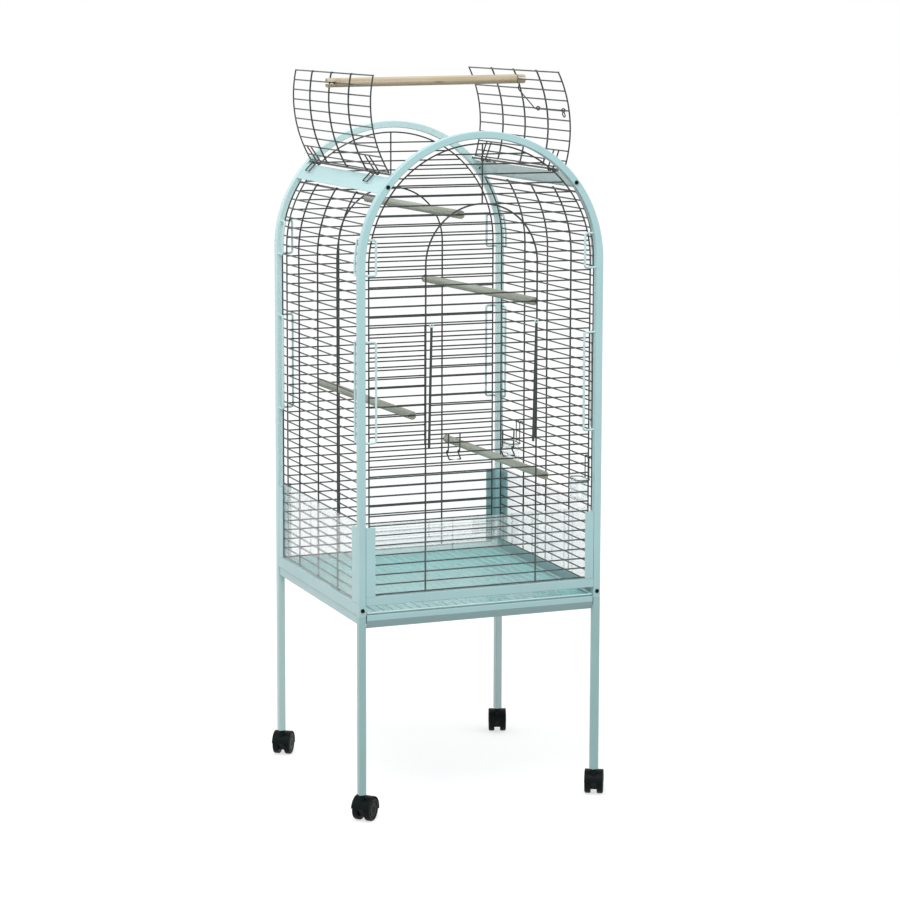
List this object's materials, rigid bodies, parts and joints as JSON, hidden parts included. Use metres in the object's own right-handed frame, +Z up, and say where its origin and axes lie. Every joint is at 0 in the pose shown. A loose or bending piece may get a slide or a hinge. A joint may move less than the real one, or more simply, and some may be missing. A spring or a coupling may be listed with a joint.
{
  "type": "parrot cage",
  "caption": "Tall parrot cage on casters: arched tube frame, wire grilles, drop-down front door, curved top flaps that open to a play perch, and a sliding tray.",
  "frame": {"origin": "on the floor, at the bottom centre of the whole object's box", "axes": "+Z up, -Y towards the front with the door, +X to the right seen from the front"},
  "size_m": [0.6066, 0.6158, 1.5907],
  "materials": {
    "aqua_powder_coat": "satin pale aqua powder coat",
    "black_wire": "satin black paint on wire",
    "pale_wire": "satin pale aqua powder coat on wire",
    "perch_wood": "plain sanded wood, pale greenish tan",
    "clear_plastic": "clear, faintly tinted",
    "black_plastic": "black, satin",
    "zinc_steel": "zinc plated"
  },
  "bodies": {
    "frame": {"caster_front_left_stem": "zinc_steel", "caster_front_right_stem": "zinc_steel", "caster_rear_left_stem": "zinc_steel", "caster_rear_right_stem": "zinc_steel", "corner_plate_front_left": "aqua_powder_coat", "corner_plate_front_right": "aqua_powder_coat", "corner_plate_rear_left": "aqua_powder_coat", "corner_plate_rear_right": "aqua_powder_coat", "front_arch": "aqua_powder_coat", "front_cup_holder": "black_wire", "front_grille": "black_wire", "front_rail": "aqua_powder_coat", "left_grille": "black_wire", "left_rail": "aqua_powder_coat", "left_roof_strip": "aqua_powder_coat", "leg_bolt_front_left": "black_plastic", "leg_bolt_front_right": "black_plastic", "leg_bolt_rear_left": "black_plastic", "leg_bolt_rear_right": "black_plastic", "leg_front_left": "aqua_powder_coat", "leg_front_right": "aqua_powder_coat", "leg_rear_left": "aqua_powder_coat", "leg_rear_right": "aqua_powder_coat", "perch_bottom": "perch_wood", "perch_lower": "perch_wood", "perch_top": "perch_wood", "perch_upper": "perch_wood", "rear_arch": "aqua_powder_coat", "rear_cup_holder": "black_wire", "rear_grille": "black_wire", "rear_rail": "aqua_powder_coat", "right_grille": "black_wire", "right_rail": "aqua_powder_coat", "right_roof_strip": "aqua_powder_coat", "roof_bolt_front_left": "black_plastic", "roof_bolt_front_right": "black_plastic", "roof_bolt_rear_left": "black_plastic", "roof_bolt_rear_right": "black_plastic"},
    "left_flap": {"left_flap": "black_wire"},
    "right_flap": {"right_flap": "black_wire"},
    "play_perch": {"play_perch": "perch_wood"},
    "flap_latch": {"flap_latch": "black_wire"},
    "front_door": {"front_door": "black_wire"},
    "tray": {"tray": "aqua_powder_coat"},
    "floor_grate": {"floor_grate": "pale_wire"},
    "front_guard": {"front_guard": "clear_plastic"},
    "rear_guard": {"rear_guard": "clear_plastic"},
    "left_guard": {"left_guard": "clear_plastic"},
    "right_guard": {"right_guard": "clear_plastic"},
    "front_cup": {"front_cup": "clear_plastic"},
    "rear_cup": {"rear_cup": "clear_plastic"},
    "caster_front_left_fork": {"caster_front_left_hood": "black_plastic"},
    "caster_front_left_wheels": {"caster_front_left_wheels": "black_plastic"},
    "caster_front_right_fork": {"caster_front_right_hood": "black_plastic"},
    "caster_front_right_wheels": {"caster_front_right_wheels": "black_plastic"},
    "caster_rear_left_fork": {"caster_rear_left_hood": "black_plastic"},
    "caster_rear_left_wheels": {"caster_rear_left_wheels": "black_plastic"},
    "caster_rear_right_fork": {"caster_rear_right_hood": "black_plastic"},
    "caster_rear_right_wheels": {"caster_rear_right_wheels": "black_plastic"}
  },
  "joints": [
    {"name": "left_flap_hinge", "type": "hinge", "parent": "frame", "child": "left_flap", "pos_m": [-0.20608, -0.01272, 1.37773], "axis": [0, 1, 0], "range_deg": [0, 14.4]},
    {"name": "right_flap_hinge", "type": "hinge", "parent": "frame", "child": "right_flap", "pos_m": [0.191, -0.01272, 1.37773], "axis": [0, 1, 0], "range_deg": [0, 14.4]},
    {"name": "play_perch_pivot", "type": "hinge", "parent": "left_flap", "child": "play_perch", "pos_m": [-0.24724, -0.01272, 1.56219], "axis": [0, 1, 0], "range_deg": [-13.3, 0]},
    {"name": "flap_latch_pivot", "type": "hinge", "parent": "right_flap", "child": "flap_latch", "pos_m": [0.20185, -0.01272, 1.50421], "axis": [0, 1, 0], "range_deg": [-70, 0]},
    {"name": "front_door_hinge", "type": "hinge", "parent": "frame", "child": "front_door", "pos_m": [-0.00754, -0.28172, 0.7862], "axis": [1, 0, 0], "range_deg": [-2.9, 87]},
    {"name": "tray_slide", "type": "slide", "parent": "frame", "child": "tray", "axis": [0, -1, 0], "range_m": [0, 0.45]},
    {"name": "grate_slide", "type": "slide", "parent": "frame", "child": "floor_grate", "axis": [0, -1, 0], "range_m": [0, 0.45]},
    {"name": "front_guard_lift", "type": "slide", "parent": "frame", "child": "front_guard", "axis": [0, 0, 1], "range_m": [0, 0.115]},
    {"name": "rear_guard_lift", "type": "slide", "parent": "frame", "child": "rear_guard", "axis": [0, 0, 1], "range_m": [0, 0.115]},
    {"name": "left_guard_lift", "type": "slide", "parent": "frame", "child": "left_guard", "axis": [0, 0, 1], "range_m": [0, 0.115]},
    {"name": "right_guard_lift", "type": "slide", "parent": "frame", "child": "right_guard", "axis": [0, 0, 1], "range_m": [0, 0.115]},
    {"name": "front_cup_lift", "type": "slide", "parent": "frame", "child": "front_cup", "axis": [0, 0, 1], "range_m": [0, 0.06]},
    {"name": "rear_cup_lift", "type": "slide", "parent": "frame", "child": "rear_cup", "axis": [0, 0, 1], "range_m": [0, 0.06]},
    {"name": "caster_front_left_swivel", "type": "hinge", "parent": "frame", "child": "caster_front_left_fork", "pos_m": [-0.27954, -0.28472, 0.06], "axis": [0, 0, 1], "continuous": true},
    {"name": "caster_front_left_axle", "type": "hinge", "parent": "caster_front_left_fork", "child": "caster_front_left_wheels", "pos_m": [-0.26803, -0.27361, 0.025], "axis": [-0.6947, 0.7193, 0], "continuous": true},
    {"name": "caster_front_right_swivel", "type": "hinge", "parent": "frame", "child": "caster_front_right_fork", "pos_m": [0.26446, -0.28472, 0.06], "axis": [0, 0, 1], "continuous": true},
    {"name": "caster_front_right_axle", "type": "hinge", "parent": "caster_front_right_fork", "child": "caster_front_right_wheels", "pos_m": [0.27197, -0.27059, 0.025], "axis": [-0.8829, 0.4695, 0], "continuous": true},
    {"name": "caster_rear_left_swivel", "type": "hinge", "parent": "frame", "child": "caster_rear_left_fork", "pos_m": [-0.27954, 0.25928, 0.06], "axis": [0, 0, 1], "continuous": true},
    {"name": "caster_rear_left_axle", "type": "hinge", "parent": "caster_rear_left_fork", "child": "caster_rear_left_wheels", "pos_m": [-0.27059, 0.27254, 0.025], "axis": [-0.829, 0.5592, 0], "continuous": true},
    {"name": "caster_rear_right_swivel", "type": "hinge", "parent": "frame", "child": "caster_rear_right_fork", "pos_m": [0.26446, 0.25928, 0.06], "axis": [0, 0, 1], "continuous": true},
    {"name": "caster_rear_right_axle", "type": "hinge", "parent": "caster_rear_right_fork", "child": "caster_rear_right_wheels", "pos_m": [0.27019, 0.27422, 0.025], "axis": [-0.9336, 0.3584, 0], "continuous": true}
  ],
  "couplings": [
    {"joint": "right_flap_hinge", "follows": "left_flap_hinge", "ratio": 1},
    {"joint": "play_perch_pivot", "follows": "left_flap_hinge", "ratio": -0.917}
  ]
}
